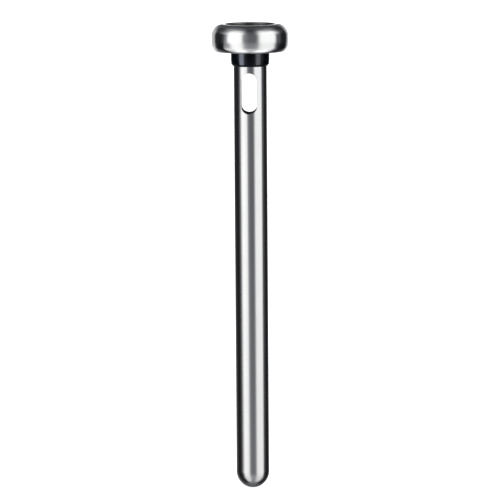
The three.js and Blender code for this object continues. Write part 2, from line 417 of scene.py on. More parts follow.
        # downward to the tip
        previous = bottom_row
        downs = np.linspace(patch_bot, TIP_CENTRE, 34)[1:]
        for z in downs:
            row = band_row(float(z), radius, sign)
            stitch(row, previous, sign > 0)
            previous = row
        cap = 26
        for k in range(1, cap + 1):
            a = -math.pi / 2 * k / cap
            if k == cap:
                pole = put((0.0, 0.0, TIP_CENTRE - radius), (0.0, 0.0, -sign))
                for i in range(cols):
                    j = (i + 1) % cols
                    t = (pole, previous[j], previous[i])
                    faces.append(t if sign > 0 else t[::-1])
            else:
                r, z = radius * math.cos(a), TIP_CENTRE + radius * math.sin(a)
                row = []
                for c in range(cols):
                    th = -half + 2 * math.pi * c / cols
                    s, cc = math.sin(th), -math.cos(th)
                    row.append(put((r * s, r * cc, z), (sign * s * math.cos(a), sign * cc * math.cos(a), sign * math.sin(a))))
                stitch(row, previous, sign > 0)
                previous = row

    # the rim at the tube's upper end
    outer, fo = rows["out", "rim"]
    inner, fi = rows["in", "rim"]
    previous = outer
    for kind, fr, base in (("out", fo, ROD_R), ("in", fi, BORE_R)):
        angles = (30.0, 60.0, 90.0) if kind == "out" else (90.0, 60.0, 30.0)
        for a in angles:
            s, c = math.sin(math.radians(a)), math.cos(math.radians(a))
            r = base - fr * (1 - c) if kind == "out" else base + fr * (1 - c)
            z = TUBE_TOP - fr * (1 - s)
            row = []
            for k in range(cols):
                th = -half + 2 * math.pi * k / cols
                ss, cc = math.sin(th), -math.cos(th)
                d = c if kind == "out" else -c
                row.append(put((r * ss, r * cc, z), (d * ss, d * cc, s)))
            stitch(previous, row, True)
            previous = row
    stitch(previous, inner, True)
    return add_mesh("chill_rod_tube", verts, faces, normals)


# --------------------------------------------------------- helical thread form


def thread_surface(z, theta, root, crest, start, stop, flank_root, flank_crest, runout=0.8):
    """Radius of a threaded wall at height z and angle theta: a rounded trapezoidal ridge on a cylinder, fading out at both ends.
    theta is measured from +X, anticlockwise from above."""
    phase = (z / PITCH - theta / (2 * math.pi)) % 1.0
    d = min(phase, 1.0 - phase) * PITCH            # distance along Z from the ridge's middle
    t = (flank_root - d) / (flank_root - flank_crest)
    t = min(max(t, 0.0), 1.0)
    t = t * t * (3 - 2 * t)
    # The ridge is one turn after another, so each turn's own height fades, not the wall's.
    turn = z - (phase if phase <= 0.5 else phase - 1.0) * PITCH
    fade = min(max((turn - start) / runout, 0.0), 1.0) * min(max((stop - turn) / runout, 0.0), 1.0)
    return root + (crest - root) * t * fade


def threaded_body(name, rings, segments, thread_rows):
    """A closed turned body in which some rows take their radius from thread_rows(z, theta)."""
    verts = []
    grid = []
    for row in rings:
        r, z, wavy = row
        line = []
        for i in range(segments):
            a = 2 * math.pi * i / segments
            radius = thread_rows(z, a) if wavy else r
            line.append(len(verts))
            verts.append((radius * math.cos(a), radius * math.sin(a), z))
        grid.append(line)
    faces = []
    for a, b in zip(grid, grid[1:] + grid[:1]):
        for i in range(segments):
            j = (i + 1) % segments
            faces.append((a[i], a[j], b[j], b[i]))
    return add_mesh(name, verts, faces)


# ------------------------------------------------------------------ materials


class Nodes:
    """A short way to write node trees."""

    def __init__(self, name, world=False, light=None):
        self.mat = light or (bpy.data.worlds.new(name) if world else bpy.data.materials.new(name))
        self.mat.use_nodes = True
        self.tree = self.mat.node_tree
        self.tree.nodes.clear()

    def new(self, kind, **props):
        n = self.tree.nodes.new(kind)
        for k, v in props.items():
            setattr(n, k, v)
        return n

    def link(self, a, b):
        self.tree.links.new(a, b)

    def put(self, socket, value):
        if hasattr(value, "is_output"):
            self.link(value, socket)
        else:
            socket.default_value = value

    def math(self, op, a, b=None, c=None, clamp=False):
        n = self.new("ShaderNodeMath", operation=op, use_clamp=clamp)
        for i, v in enumerate((a, b, c)):
            if v is not None:
                self.put(n.inputs[i], v)
        return n.outputs[0]

    def ramp(self, value, lo, hi, out_lo=0.0, out_hi=1.0, kind="SMOOTHSTEP"):
        n = self.new("ShaderNodeMapRange", interpolation_type=kind)
        self.put(n.inputs["Value"], value)
        self.put(n.inputs["From Min"], lo)
        self.put(n.inputs["From Max"], hi)
        self.put(n.inputs["To Min"], out_lo)
        self.put(n.inputs["To Max"], out_hi)
        return n.outputs["Result"]

    def scaled(self, vector, scale):
        n = self.new("ShaderNodeMapping")
        self.put(n.inputs["Vector"], vector)
        n.inputs["Scale"].default_value = scale
        return n.outputs[0]

    def noise(self, vector, scale, detail=2.0, rough=0.5, distortion=0.0):
        n = self.new("ShaderNodeTexNoise")
        self.put(n.inputs["Vector"], vector)
        n.inputs["Scale"].default_value = scale
        n.inputs["Detail"].default_value = detail
        n.inputs["Roughness"].default_value = rough
        n.inputs["Distortion"].default_value = distortion
        return n.outputs["Fac"]

    def mix_colour(self, fac, a, b):
        n = self.new("ShaderNodeMix", data_type="RGBA")
        self.put(n.inputs[0], fac)
        self.put(n.inputs[6], a)
        self.put(n.inputs[7], b)
        return n.outputs[2]

    def bump(self, height, distance, strength=1.0, normal=None):
        n = self.new("ShaderNodeBump")
        n.inputs["Strength"].default_value = strength
        n.inputs["Distance"].default_value = distance
        self.put(n.inputs["Height"], height)
        if normal is not None:
            self.put(n.inputs["Normal"], normal)
        return n.outputs["Normal"]

    def principled(self, **values):
        p = self.new("ShaderNodeBsdfPrincipled")
        for k, v in values.items():
            self.put(p.inputs[k.replace("_", " ")], v)
        out = self.new("ShaderNodeOutputMaterial")
        self.link(p.outputs[0], out.inputs["Surface"])
        return p


def object_coords(t):
    return t.new("ShaderNodeTexCoord").outputs["Object"]


def steel(name, grain, base=(0.55, 0.553, 0.56), tint=(0.47, 0.473, 0.48), rough=0.16, spread=0.06,
          aniso=0.0, bump=6e-7, streak=0.5, edge=1.0):
    """Brushed steel. grain is 'around' for a turned finish or 'along' for a finish along the axis."""
    t = Nodes(name)
    co = object_coords(t)
    if grain == "around":
        fine, mid, band = (350, 350, 16000), (90, 90, 5200), (8, 8, 900)
    elif grain == "along":
        fine, mid, band = (16000, 16000, 260), (5200, 5200, 60), (900, 900, 5)
    else:
        fine, mid, band = (9000, 9000, 9000), (2600, 2600, 2600), (300, 300, 300)
    f = t.noise(t.scaled(co, fine), 1.0, 3.0, 0.6)
    m = t.noise(t.scaled(co, mid), 1.0, 3.0, 0.55)
    b = t.noise(t.scaled(co, band), 1.0, 2.0, 0.5)
    smudge = t.noise(t.scaled(co, (55, 55, 38)), 1.0, 4.0, 0.55, 0.6)
    grain_v = t.math("ADD", t.math("MULTIPLY", f, 0.45), t.math("ADD", t.math("MULTIPLY", m, 0.35), t.math("MULTIPLY", b, 0.20)))
    # colour: faint streaks, slightly duller where the surface has been handled
    streaks = t.ramp(grain_v, 0.36, 0.64, 0.0, 1.0, "LINEAR")
    duller = t.ramp(smudge, 0.35, 0.75)
    mixv = t.math("ADD", t.math("MULTIPLY", streaks, streak), t.math("MULTIPLY", duller, 0.25), clamp=True)
    colour = t.mix_colour(mixv, (*base, 1.0), (*tint, 1.0))
    # roughness: the grain, plus finger-worn patches and a few scratches
    scratch_v = t.noise(t.scaled(co, (700, 700, 90)), 1.0, 1.0, 0.4, 1.5)
    scratch = t.ramp(t.math("ABSOLUTE", t.math("SUBTRACT", scratch_v, 0.5)), 0.0, 0.006, 1.0, 0.0)
    r = t.math("ADD", t.ramp(grain_v, 0.3, 0.7, rough - spread, rough + spread, "LINEAR"), t.math("MULTIPLY", duller, 0.035))
    r = t.math("ADD", r, t.math("MULTIPLY", scratch, 0.03))
    height = t.math("SUBTRACT", grain_v, t.math("MULTIPLY", scratch, 0.25))
    normal = t.bump(height, bump, 1.0)
    p = t.principled(Base_Color=colour, Metallic=1.0, Roughness=r, Normal=normal)
    p.inputs["IOR"].default_value = 1.5
    p.inputs["Specular Tint"].default_value = (edge, edge, edge, 1.0)
    if aniso:
        tangent = t.new("ShaderNodeTangent", direction_type="RADIAL", axis="Z")
        t.link(tangent.outputs[0], p.inputs["Tangent"])
        p.inputs["Anisotropic"].default_value = aniso
        p.inputs["Anisotropic Rotation"].default_value = 0.25 if grain == "around" else 0.0
    t.mat.diffuse_color = (*base, 1.0)
    return t.mat


def silicone(name, base=(0.0003, 0.00045, 0.0007), rough=0.19, level=0.10, fine_bump=3e-6):
    """Satin black silicone: moulded skin with a faint orange peel, dust and a dry bloom in its low spots."""
    t = Nodes(name)
    co = object_coords(t)
    peel = t.noise(t.scaled(co, (2200, 2200, 2200)), 1.0, 3.0, 0.5)
    soft = t.noise(t.scaled(co, (160, 160, 160)), 1.0, 3.0, 0.5, 0.4)
    dust = t.ramp(t.noise(t.scaled(co, (4200, 4200, 4200)), 1.0, 1.0, 0.5), 0.70, 0.80)
    colour = t.mix_colour(t.math("ADD", t.math("MULTIPLY", soft, 0.35), t.math("MULTIPLY", dust, 0.25), clamp=True),
                          (*base, 1.0), (base[0] * 2.4 + 0.0004, base[1] * 2.4 + 0.0004, base[2] * 2.3 + 0.0005, 1.0))
    r = t.math("ADD", t.ramp(soft, 0.3, 0.7, rough - 0.05, rough + 0.07, "LINEAR"), t.math("MULTIPLY", dust, 0.12))
    normal = t.bump(t.math("ADD", t.math("MULTIPLY", peel, 0.7), t.math("MULTIPLY", soft, 0.3)), fine_bump, 1.0)
    p = t.principled(Base_Color=colour, Roughness=r, Normal=normal)
    p.inputs["IOR"].default_value = 1.55
    p.inputs["Specular IOR Level"].default_value = level
    t.mat.diffuse_color = (0.02, 0.02, 0.025, 1.0)
    return t.mat


def moulded(name, base=(0.012, 0.012, 0.013), rough=0.5):
    """Black moulded plastic with a spark-eroded texture."""
    t = Nodes(name)
    co = object_coords(t)
    v = t.new("ShaderNodeTexVoronoi", feature="F1")
    t.put(v.inputs["Vector"], t.scaled(co, (3800, 3800, 3800)))
    v.inputs["Scale"].default_value = 1.0
    cells = v.outputs["Distance"]
    soft = t.noise(t.scaled(co, (240, 240, 240)), 1.0, 3.0, 0.5)
    colour = t.mix_colour(soft, (*base, 1.0), (base[0] * 1.8, base[1] * 1.8, base[2] * 1.9, 1.0))
    r = t.ramp(t.math("ADD", t.math("MULTIPLY", cells, 0.5), t.math("MULTIPLY", soft, 0.5)), 0.2, 0.8, rough - 0.08, rough + 0.1, "LINEAR")
    p = t.principled(Base_Color=colour, Roughness=r, Normal=t.bump(cells, 8e-6, 0.8))
    t.mat.diffuse_color = (0.03, 0.03, 0.03, 1.0)
    return t.mat


def gel(name):
    """Blue freezing gel, cloudy with fine bubbles."""
    t = Nodes(name)
    co = object_coords(t)
    cloud = t.noise(t.scaled(co, (180, 180, 70)), 1.0, 5.0, 0.6, 0.8)
    v = t.new("ShaderNodeTexVoronoi", feature="F1")
    t.put(v.inputs["Vector"], t.scaled(co, (520, 520, 520)))
    v.inputs["Scale"].default_value = 1.0
    bubbles = t.ramp(v.outputs["Distance"], 0.05, 0.16, 1.0, 0.0)
    colour = t.mix_colour(t.math("ADD", t.math("MULTIPLY", cloud, 0.8), t.math("MULTIPLY", bubbles, 0.4), clamp=True),
                          (0.02, 0.11, 0.34, 1.0), (0.16, 0.38, 0.66, 1.0))
    r = t.ramp(cloud, 0.3, 0.7, 0.18, 0.34, "LINEAR")
    p = t.principled(Base_Color=colour, Roughness=r, Normal=t.bump(t.math("SUBTRACT", cloud, t.math("MULTIPLY", bubbles, 0.5)), 3e-5, 0.7))
    p.inputs["Subsurface Weight"].default_value = 0.3
    p.inputs["Subsurface Radius"].default_value = (0.002, 0.004, 0.006)
    p.inputs["Subsurface Scale"].default_value = 1.0
    t.mat.diffuse_color = (0.06, 0.2, 0.45, 1.0)
    return t.mat


rod_steel = steel("rod_brushed_steel", "along", base=(0.570, 0.571, 0.574), tint=(0.505, 0.506, 0.509), rough=0.135, spread=0.03, bump=2.5e-7, streak=0.35, edge=0.9)
head_steel = steel("head_turned_steel", "around", base=(0.630, 0.631, 0.634), tint=(0.555, 0.556, 0.559), rough=0.105, spread=0.03, bump=3e-7, streak=0.4)
base_steel = steel("base_turned_steel", "around", rough=0.24, spread=0.06, bump=6e-7, streak=0.5)
# The cup's steel has a much darker base colour than the other steel: painted shade for the inside of the head's mouth.
cup_steel = steel("cup_steel_painted_shade", "around", base=(0.24, 0.239, 0.237), tint=(0.18, 0.179, 0.177), rough=0.30, spread=0.08, bump=8e-7)
turned_steel = steel("turned_bright_steel", "around", base=(0.56, 0.56, 0.565), tint=(0.44, 0.445, 0.45), rough=0.2, spread=0.06, bump=6e-7)
collar_silicone = silicone("collar_silicone")
seal_silicone = silicone("seal_silicone", base=(0.004, 0.0045, 0.005), rough=0.42, level=0.5, fine_bump=6e-6)
plug_plastic = moulded("plug_moulded_plastic")
gel_material = gel("freezing_gel_blue")


def dress(obj, material, body, slot, *nodes):
    obj.data.materials.clear()
    obj.data.materials.append(material)
    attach(obj, body)
    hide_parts(*nodes)
    return obj


# --------------------------------------------------------------------- pieces

rod_tube = dress(rod_tube_mesh(), rod_steel, "rod", "rod_steel", "rod_tube")

COLLAR_R = float(collar_hi[0])
CZ0, CZ1 = float(collar_lo[2]), float(collar_hi[2])
collar_outline = fillet_outline([
    (ROD_R + 0.02, CZ0, 0.10),
    (COLLAR_R - 1.05, CZ0, 0.22),
    (COLLAR_R - 0.16, CZ0 + 1.0, 0.45),
    (COLLAR_R, CZ0 + 3.2, 2.0),
    (COLLAR_R, CZ1, 0.28),
    (ROD_R + 0.02, CZ1, 0.12),
])
collar = dress(revolve("bottle_stopper_collar", split_long(collar_outline), segments=176), collar_silicone, "rod", "black_silicone", "stopper_collar")

PR = float(plug_hi[0])
PZ0, PZ1 = float(plug_lo[2]), float(plug_hi[2])
OZ = float(oring_lo[2] + oring_hi[2]) / 2
OS = float(oring_hi[2] - oring_lo[2]) / 2
GR = PR - 2 * OS - 0.1
plug_outline = fillet_outline([
    (0, PZ0 + 1.2, 0), (4.2, PZ0 + 1.2, 0.3), (4.8, PZ0, 0.3), (PR, PZ0, 0.7),
    (PR, OZ - OS - 0.2, 0.12), (GR, OZ - OS - 0.2, 0.12), (GR, OZ + OS + 0.2, 0.12), (PR, OZ + OS + 0.2, 0.12),
    (PR, PZ1, 0.45), (PR - 1.4, PZ1, 0.3), (2.2, PZ1 - 0.5, 0.4), (1.6, PZ1 - 0.9, 0.3), (0, PZ1 - 0.9, 0),
], closed=False)
plug = dress(revolve("bulkhead_plug", split_long(plug_outline, closed=False), closed=False, segments=96), plug_plastic, "rod", "black_moulded", "chamber_plug")

oring_outline = [(PR - OS + 0.02 + OS * math.cos(a), OZ + OS * math.sin(a), math.cos(a), math.sin(a))
                 for a in (2 * math.pi * k / 24 for k in range(24))]
oring = dress(revolve("bulkhead_o_ring", oring_outline, segments=96), seal_silicone, "rod", "black_silicone", "plug_seal_ring")

GLR = float(gel_hi[0])
GZ0, GZ1 = float(gel_lo[2]), float(gel_hi[2])
gel_outline = [(GLR * math.cos(a), GZ0 + GLR + GLR * math.sin(a), math.cos(a), math.sin(a))
               for a in (math.radians(-90 + 90 * k / 14) for k in range(15))]
gel_outline[0] = (0.0, GZ0, 0.0, -1.0)
gel_outline += [(GLR, z, 1.0, 0.0) for z in np.linspace(GZ0 + GLR, GZ1 - 0.5, 26)[1:]]
gel_outline += fillet_outline([(GLR, GZ1 - 0.4, 0), (GLR, GZ1, 0.22), (GLR - 0.9, GZ1 - 0.35, 0.6), (0, GZ1 - 0.5, 0)], closed=False)[1:]
gel_core = dress(revolve("freezing_gel_fill", gel_outline, closed=False, segments=96), gel_material, "rod", "freezing_gel", "cooling_gel_core")

# Neck bush: its bore is the female thread, so the wall's radius is a height field.
BZ0, BZ1 = float(bush_lo[2]), float(bush_hi[2])
BFR = float(bush_hi[0])
FLANGE_Z = 0.9
BUSH_R = BORE_R - 0.04
MINOR, MAJOR, RELIEF_Z = 6.25, 6.95, -2.3


def bush_rings():
    rings = []
    def add(points, wavy=False):
        rings.extend((r, z, wavy) for r, z in points)
    add([(BUSH_R - 0.45, BZ0), (BUSH_R - 0.14, BZ0 + 0.12), (BUSH_R, BZ0 + 0.4), (BUSH_R, BZ0 + 0.6)])
    add([(BUSH_R, z) for z in np.linspace(BZ0 + 2.5, TUBE_TOP - 0.5, 4)])
    add([(BUSH_R, TUBE_TOP + 0.03), (BUSH_R + 0.02, TUBE_TOP + 0.05), (BUSH_R + 0.1, TUBE_TOP + 0.05)])
    add([(BFR - 0.2, TUBE_TOP + 0.05), (BFR - 0.06, TUBE_TOP + 0.08), (BFR, TUBE_TOP + 0.2)])
    add([(BFR, BZ1 - 0.22), (BFR - 0.06, BZ1 - 0.07), (BFR - 0.2, BZ1)])
    add([(MAJOR + 0.42, BZ1), (MAJOR + 0.2, BZ1 - 0.07), (MAJOR + 0.12, BZ1 - 0.3), (MAJOR + 0.1, BZ1 - 0.5)])
    add([(MAJOR + 0.1, RELIEF_Z + 0.3), (MAJOR + 0.1, RELIEF_Z + 0.06)])
    add([(0, z) for z in np.linspace(RELIEF_Z - 0.06, BZ0 + 0.5, 84)], wavy=True)
    add([(MINOR + 0.12, BZ0 + 0.16), (MINOR + 0.35, BZ0 + 0.02), (MINOR + 0.55, BZ0)])
    return rings


def bush_wall(z, a):
    return thread_surface(z, a, MINOR, MAJOR, -9.6, -1.0, 0.78, 0.52, runout=0.6)


bush = dress(threaded_body("threaded_neck_bush", bush_rings(), 120, bush_wall), turned_steel, "rod", "turned_steel", "neck_bush")

G0, G1 = float(gasket_lo[2]), float(gasket_hi[2])
GRO = float(gasket_hi[0])
gasket_outline = fillet_outline([
    (7.0, G0, 0.3), (GRO, G0, 0.3), (GRO, G1, 0.3), (7.0, G1, 0.3),
], step_deg=15)
gasket = dress(revolve("neck_seal_gasket", gasket_outline, segments=112), seal_silicone, "gasket", "black_silicone", "neck_gasket")

# Head shell: the outer skin runs from the flat underside round the lower corner,
# up the slightly barrelled side, over the wide shoulder and in to the mouth.
BASE_OUT = float(base_hi[0])
BARREL = 0.0137                       # how much the side bulges: r falls by this times (z - 6.6) squared


def arc_points(cr, cz, radius, from_deg, to_deg, steps):
    """(r, z, nr, nz) along an arc whose centre lies inside the solid."""
    out = []
    for k in range(steps + 1):
        a = math.radians(from_deg + (to_deg - from_deg) * k / steps)
        out.append((cr + radius * math.cos(a), cz + radius * math.sin(a), math.cos(a), math.sin(a)))
    return out


def side_point(z):
    tilt = math.atan(2 * BARREL * (z - 6.6))
    return HEAD_R - BARREL * (z - 6.6) ** 2, z, tilt


def shell_skin(low_z=2.9, low_end=-55.0, top_radius=5.9):
    """The head's outer skin: flat underside, a broken edge, the lower corner, the barrelled side, the wide shoulder and the flat rim."""
    r0, z0, t0 = side_point(low_z)
    # Lower corner: leaves the side tangentially and meets the underside at low_end degrees.
    rad = low_z / (math.sin(math.radians(-low_end)) - math.sin(-t0))
    cr, cz = r0 - rad * math.cos(t0), z0 - rad * math.sin(t0)
    corner = arc_points(cr, cz, rad, low_end, math.degrees(t0), 22)
    er, ez = corner[0][0], corner[0][1]
    brk = 0.10
    edge_arc = arc_points(er - brk * math.cos(math.radians(low_end)), brk, brk, -90.0, low_end, 4)
    edge_arc = [(r, max(z, 0.0), a, b) for r, z, a, b in edge_arc]
    corner = [q for q in corner if q[1] > edge_arc[-1][1] + 0.01]
    # Shoulder: the height at which it leaves the side.
    lo_z, hi_z = 6.7, 13.0
    for _ in range(50):
        m = (lo_z + hi_z) / 2
        if HEAD_H - top_radius + top_radius * math.sin(side_point(m)[2]) > m:
            lo_z = m
        else:
            hi_z = m
    z1 = (lo_z + hi_z) / 2
    r1, _, t1 = side_point(z1)
    shoulder = arc_points(r1 - top_radius * math.cos(t1), HEAD_H - top_radius, top_radius, math.degrees(t1), 90.0, 44)
    out = [(BASE_OUT + 0.12, 0.0, 0.0, -1.0), ((BASE_OUT + er) / 2, 0.0, 0.0, -1.0)]
    out += edge_arc + corner
    for k in range(1, 14):
        r, z, t = side_point(low_z + (z1 - low_z) * k / 14)
        out.append((r, z, math.cos(t), math.sin(t)))
    out += shoulder
    out.append((MOUTH_R + 0.95, HEAD_H, 0.0, 1.0))
    return out


outer = shell_skin()
mouth_in = MOUTH_R + 0.72
inner_shell = fillet_outline([
    (mouth_in, HEAD_H - 0.06, 0.05), (mouth_in, HEAD_H - 0.72, 0.1), (14.0, HEAD_H - 0.85, 2.0), (18.6, 12.3, 4.0),
    (19.15, 6.0, 5.0), (18.5, 1.1, 1.5), (BASE_OUT + 0.12, 0.8, 0.1),
], closed=False)
shell_outline = outer + [(p[0], p[1], p[2], p[3]) for p in inner_shell]
shell = dress(revolve("ring_head_shell", shell_outline, segments=224), head_steel, "head", "head_steel", "head_shell")

base_outline = fillet_outline([
    (9.1, 0.3, 0.15), (10.8, 0.3, 0.1), (10.8, 0.0, 0.06), (BASE_OUT + 0.02, 0.0, 0.08), (BASE_OUT + 0.02, 1.0, 0.08), (9.1, 1.0, 0.22),
])
base_ring = dress(revolve("ring_head_base", split_long(base_outline), segments=176), base_steel, "head", "head_steel", "head_base_ring")

core_outline = fillet_outline([
    (9.1, 1.3, 0.2), (16.4, 1.3, 0.5), (18.3, 2.3, 1.0), (18.85, 7.0, 3.0), (18.0, 11.0, 3.0), (14.6, HEAD_H - 1.15, 2.0),
    (13.2, HEAD_H - 1.15, 0.15), (13.2, 9.4, 0.6), (11.8, 6.3, 0.5), (11.8, 3.2, 0.2), (9.1, 3.2, 0.2),
])
core = dress(revolve("ring_head_core", core_outline, segments=96), plug_plastic, "head", "black_moulded", "head_core")

# Pouring cup: its rolled lip closes over the shell's edge.
LIP_Z = HEAD_H
cup_outline = fillet_outline([
    (4.8, 5.6, 0.12), (8.4, 5.85, 1.0), (11.6, 6.5, 2.6), (12.9, 9.2, 2.6), (12.9, LIP_Z, 0.34),
    (MOUTH_R, LIP_Z, 0.5), (MOUTH_R, 9.6, 2.8), (10.9, 7.2, 2.2), (8.3, 6.55, 1.0), (4.8, 6.3, 0.3),
], step_deg=7)
cup = dress(revolve("pouring_cup", split_long(cup_outline, longest=2.0), segments=192), cup_steel, "head", "cup_steel", "pour_cup")

SZ0, SZ1 = float(spigot_lo[2]), float(spigot_hi[2])
ROOT, CREST = 5.9, 6.6
SBORE = 4.8
SFR = float(spigot_hi[0])


def spigot_rings():
    rings = []
    def add(points, wavy=False):
        rings.extend((r, z, wavy) for r, z in points)
    add([(SBORE + 0.1, SZ0 + 0.03), (SBORE + 0.3, SZ0), (ROOT - 0.55, SZ0), (ROOT - 0.35, SZ0 + 0.05), (ROOT - 0.06, SZ0 + 0.34)])
    add([(0, z) for z in np.linspace(SZ0 + 0.42, -1.3, 100)], wavy=True)
    add([(ROOT, z) for z in (-1.0, 0.6, 2.2, 3.2)])
    add([(ROOT + 0.06, 3.42), (ROOT + 0.2, 3.5)])
    add([(8.4, 3.5), (SFR - 0.3, 3.5), (SFR - 0.08, 3.56), (SFR, 3.75), (SFR, SZ1 - 0.25), (SFR - 0.08, SZ1 - 0.06), (SFR - 0.3, SZ1)])
    add([(8.4, SZ1), (SBORE + 0.3, SZ1), (SBORE + 0.08, SZ1 - 0.06), (SBORE, SZ1 - 0.25)])
    add([(SBORE, z) for z in np.linspace(SZ1 - 1.5, SZ0 + 1.5, 7)])
    add([(SBORE, SZ0 + 0.2)])
    return rings


def spigot_wall(z, a):
    return thread_surface(z, a, ROOT, CREST, -8.0, -2.0, 0.46, 0.22, runout=0.5)


spigot = dress(threaded_body("screw_spigot", spigot_rings(), 128, spigot_wall), turned_steel, "head", "turned_steel", "threaded_spigot")

# --------------------------------------------------------------------- camera

CAM_AZ, CAM_EL = 1.0, 6.27            # degrees: round from the slots' side, and above the horizon
ROLL = 0.395
K = 0.5229                            # millimetres to a pixel of a 500-pixel frame
DIST = 3.3
AIM_Z = -104.28                       # height on the axis that falls on the middle of the frame
a, e = math.radians(CAM_AZ), math.radians(CAM_EL)
back = Vector((math.sin(a) * math.cos(e), -math.cos(a) * math.cos(e), math.sin(e)))
right = Vector((math.cos(a), math.sin(a), 0.0))
up = right.cross(-back).normalized()
target = Vector((0.0, 0.0, AIM_Z * MM)) - right * (1.45 * K * MM)
rolled = (up * math.cos(math.radians(ROLL)) + right * math.sin(math.radians(ROLL))).normalized()
side = (-back).cross(rolled).normalized()
cam_data = bpy.data.cameras.new("camera")
cam_data.sensor_width = 36.0
cam_data.lens = 18.0 / (250.0 * K * MM / DIST)
cam_data.clip_start, cam_data.clip_end = 0.05, 60.0
cam = bpy.data.objects.new("camera", cam_data)
cam.matrix_world = Matrix((
    (side.x, rolled.x, back.x, target.x + back.x * DIST),
    (side.y, rolled.y, back.y, target.y + back.y * DIST),
    (side.z, rolled.z, back.z, target.z + back.z * DIST),
    (0, 0, 0, 1),
))
bpy.context.scene.collection.objects.link(cam)
bpy.context.scene.camera = cam

# --------------------------------------------------- studio: floor and lights


def floor_material(name, albedo, glow):
    t = Nodes(name)
    co = object_coords(t)
    n = t.noise(t.scaled(co, (14, 14, 14)), 1.0, 3.0, 0.5)
    colour = t.mix_colour(n, (albedo, albedo, albedo, 1.0), (albedo * 0.985, albedo * 0.985, albedo * 0.985, 1.0))
    p = t.principled(Base_Color=colour, Roughness=0.9)
    p.inputs["Specular IOR Level"].default_value = 0.0
    p.inputs["Emission Color"].default_value = (1, 1, 1, 1)
    p.inputs["Emission Strength"].default_value = glow
    return t.mat


def disc(name, radius, z, material, rings=6, segments=96):
    verts, faces = [(0.0, 0.0, z)], []
    for k in range(1, rings + 1):
        r = radius * k / rings
        verts += [(r * math.sin(2 * math.pi * i / segments), -r * math.cos(2 * math.pi * i / segments), z) for i in range(segments)]
    for i in range(segments):
        faces.append((0, 1 + (i + 1) % segments, 1 + i)[::-1])
    for k in range(1, rings):
        a0, b0 = 1 + (k - 1) * segments, 1 + k * segments
        for i in range(segments):
            j = (i + 1) % segments
            faces.append((a0 + i, b0 + i, b0 + j, a0 + j))
    obj = add_mesh(name, verts, faces)
    obj.data.materials.append(material)
    return obj


FLOOR_Z = TIP_Z - 0.02
floor = disc("studio_floor", 11000.0, FLOOR_Z, floor_material("floor_pale", 0.86, 0.86))
floor.visible_glossy = False
floor.visible_shadow = False


def shade_card(name, radius):
    """A clear card on the floor that darkens what the rod's tip mirrors next to where it touches down."""
    t = Nodes(name)
    sep = t.new("ShaderNodeSeparateXYZ")
    t.link(object_coords(t), sep.inputs[0])
    x, y, z = sep.outputs
    rho = t.math("SQRT", t.math("ADD", t.math("MULTIPLY", x, x), t.math("MULTIPLY", y, y)))
    n = t.new("ShaderNodeFloatCurve")
    curve = n.mapping.curves[0]
    pts = SHADE
    while len(curve.points) < len(pts):
        curve.points.new(0.5, 0.5)
    for p, (r, v) in zip(curve.points, pts):
        p.location = (r / radius, v)
        p.handle_type = "VECTOR"
    n.mapping.update()
    t.put(n.inputs["Value"], t.math("DIVIDE", rho, radius * MM))
    grey = t.new("ShaderNodeCombineColor")
    for k in range(3):
        t.link(n.outputs[0], grey.inputs[k])
    clear = t.new("ShaderNodeBsdfTransparent")
    t.link(grey.outputs[0], clear.inputs["Color"])
    out = t.new("ShaderNodeOutputMaterial")
    t.link(clear.outputs[0], out.inputs["Surface"])
    return t.mat


# transmission by distance from the axis in millimetres
SHADE = [(0.0, 0.46), (3.5, 0.52), (6.5, 0.66), (9.5, 0.84), (14.0, 0.96), (20.0, 1.0), (60.0, 1.0)]
card = disc("floor_shade_card", 60.0, FLOOR_Z - 0.02, shade_card("floor_shade", 60.0))
card.visible_camera = False
card.visible_shadow = False
card.visible_diffuse = False


def area_light(name, location, size, power, glossy=False):
    data = bpy.data.lights.new(name, "AREA")
    data.shape = "DISK"
    data.size = size
    data.energy = power
    obj = bpy.data.objects.new(name, data)
    obj.location = location
    obj.rotation_mode = "QUATERNION"
    obj.rotation_quaternion = (Vector((0, 0, FLOOR_Z * MM)) - Vector(location)).to_track_quat("-Z", "Y")
    obj.visible_glossy = glossy
    obj.visible_camera = False
    bpy.context.scene.collection.objects.link(obj)
    return obj


area_light("overhead_fill", (0.25, -0.35, 1.9), 1.6, 22.0)


def strip(name, receivers, az, el, wide_deg, tall_deg, radiance, height, dist=1.0, soft=0.0, colour=(1.0, 1.0, 1.0)):
    """A softbox that lights only some pieces. az is counted from the camera's side, positive to the right."""
    data = bpy.data.lights.new(name, "AREA")
    data.shape = "RECTANGLE"
    data.size = 2 * dist * math.tan(math.radians(wide_deg / 2))
    data.size_y = 2 * dist * math.tan(math.radians(tall_deg / 2))
    data.energy = radiance * math.pi * data.size * data.size_y
    data.color = colour
    th = math.radians(CAM_AZ + az)
    e_ = math.radians(el)
    d = Vector((math.sin(th) * math.cos(e_), -math.cos(th) * math.cos(e_), math.sin(e_)))
    obj = bpy.data.objects.new(name, data)
    obj.location = d * dist + Vector((0, 0, height * MM))
    obj.rotation_mode = "QUATERNION"
    obj.rotation_quaternion = (-d).to_track_quat("-Z", "Y")
    obj.visible_camera = False
    bpy.context.scene.collection.objects.link(obj)
    group = bpy.data.collections.new(name + "_receivers")
    for r in receivers:
        group.objects.link(r)
    obj.light_linking.receiver_collection = group
    if soft:
        # A softbox whose cloth fades towards its frame.
        t = Nodes(name, light=data)
        place = t.new("ShaderNodeSeparateXYZ")
        t.link(t.new("ShaderNodeNewGeometry").outputs["Parametric"], place.inputs[0])
        level = 1.0
        for axis in place.outputs[:2]:
            level = t.math("MULTIPLY", level, t.math("MULTIPLY", t.ramp(axis, 0.0, soft), t.ramp(axis, 1.0 - soft, 1.0, 1.0, 0.0)))
        glow = t.new("ShaderNodeEmission")
        t.link(level, glow.inputs["Strength"])
        t.link(glow.outputs[0], t.new("ShaderNodeOutputLight").inputs["Surface"])
    return obj


